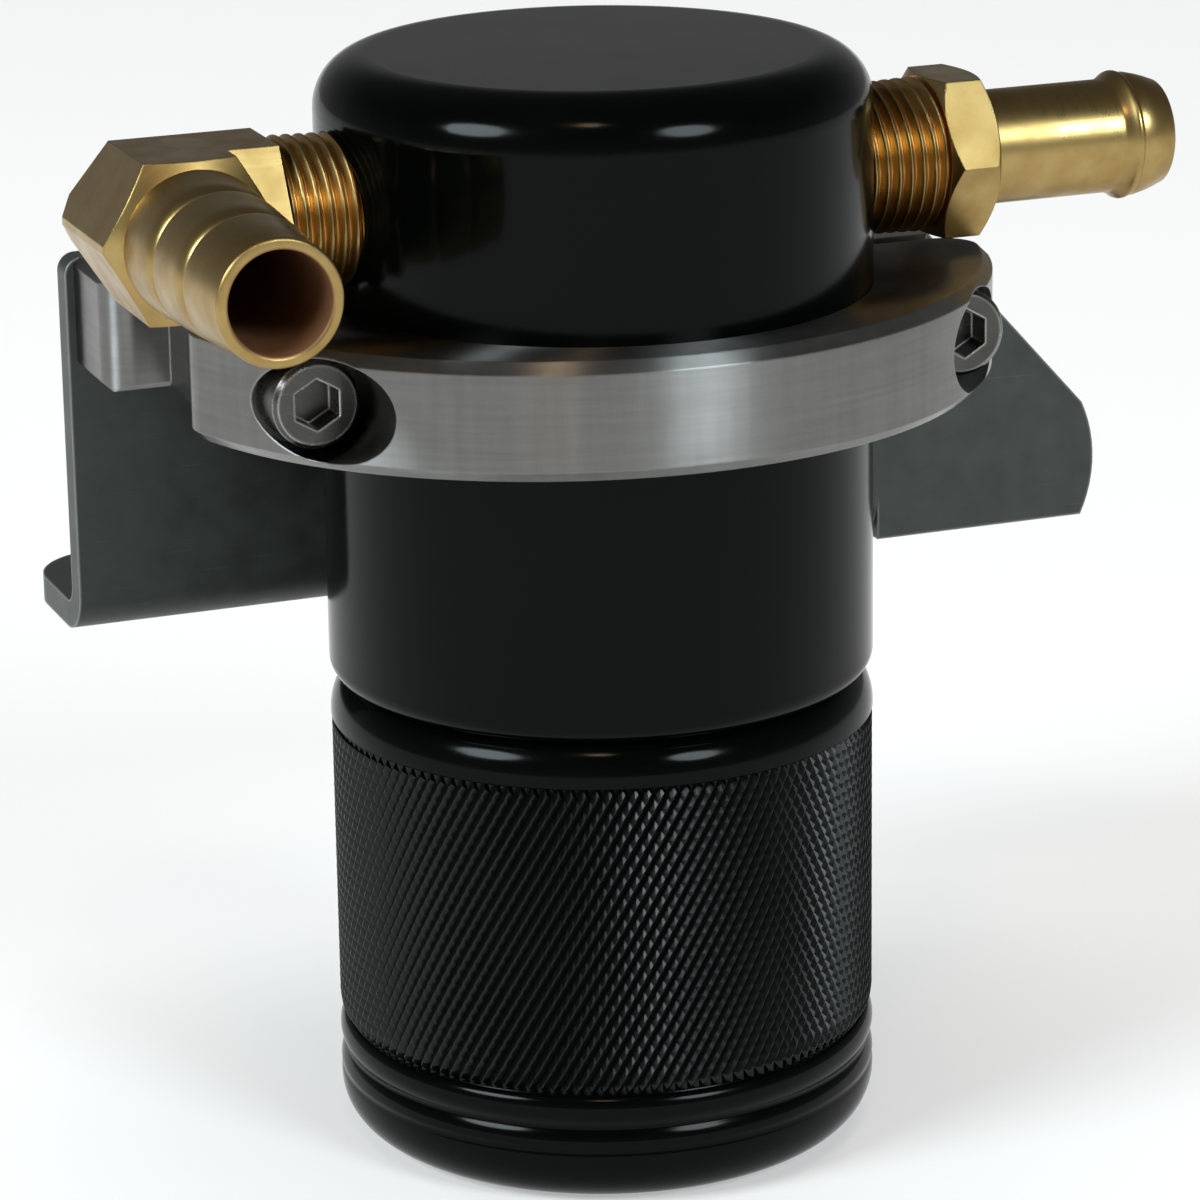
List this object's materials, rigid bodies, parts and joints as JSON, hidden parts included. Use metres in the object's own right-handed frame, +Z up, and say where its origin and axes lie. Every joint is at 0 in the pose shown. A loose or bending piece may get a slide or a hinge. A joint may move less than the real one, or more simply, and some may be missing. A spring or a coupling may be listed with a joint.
{
  "type": "oil catch can",
  "caption": "Black oil catch can with a screw-off knurled drain cup, inner mesh filter, brass elbow hose barb, brass hose tube, clamp and folded bracket.",
  "frame": {"origin": "centre of the can's flat base", "axes": "+Z up the can's axis, -Y towards the front of the clamp, +X along the bracket towards its slanted end"},
  "size_m": [0.1351, 0.0961, 0.122],
  "materials": {
    "anodised_black": "black anodised, satin gloss, turned",
    "seal_rubber": "matt black nitrile rubber",
    "plain_aluminium": "plain rolled aluminium",
    "stainless_screen": "perforated stainless sheet",
    "stainless_mesh": "knitted stainless wire",
    "dark_steel": "blackened alloy steel, oiled",
    "brass": "turned brass, slightly tarnished in the thread roots",
    "brushed_aluminium": "machined and brushed aluminium",
    "bracket_steel": "satin grey sheet steel",
    "washer_steel": "zinc plated steel"
  },
  "bodies": {
    "can": {"can_body": "anodised_black", "baffle_plate": "plain_aluminium", "upper_screen": "stainless_screen", "filter_mesh": "stainless_mesh", "lower_screen": "stainless_screen", "retaining_ring": "dark_steel", "elbow_fitting": "brass", "straight_fitting": "brass", "clamp_front": "brushed_aluminium", "clamp_rear": "brushed_aluminium", "clamp_screw_left": "dark_steel", "clamp_screw_right": "dark_steel", "bracket": "bracket_steel", "bracket_screw_left": "dark_steel", "bracket_screw_right": "dark_steel", "spring_washer_left": "dark_steel", "spring_washer_right": "dark_steel", "flat_washer_left": "washer_steel", "flat_washer_right": "washer_steel"},
    "cup_carrier": {"cup_seal": "seal_rubber"},
    "cup": {"drain_cup": "anodised_black"}
  },
  "joints": [
    {"name": "cup_lower", "type": "slide", "parent": "can", "child": "cup_carrier", "axis": [0, 0, -1], "range_m": [0, 0.00795]},
    {"name": "cup_unscrew", "type": "hinge", "parent": "cup_carrier", "child": "cup", "pos_m": [0, 0, 0], "axis": [0, 0, -1], "range_deg": [0, 1800]}
  ],
  "couplings": [
    {"joint": "cup_lower", "follows": "cup_unscrew", "m_per_rad": 0.00025266}
  ]
}
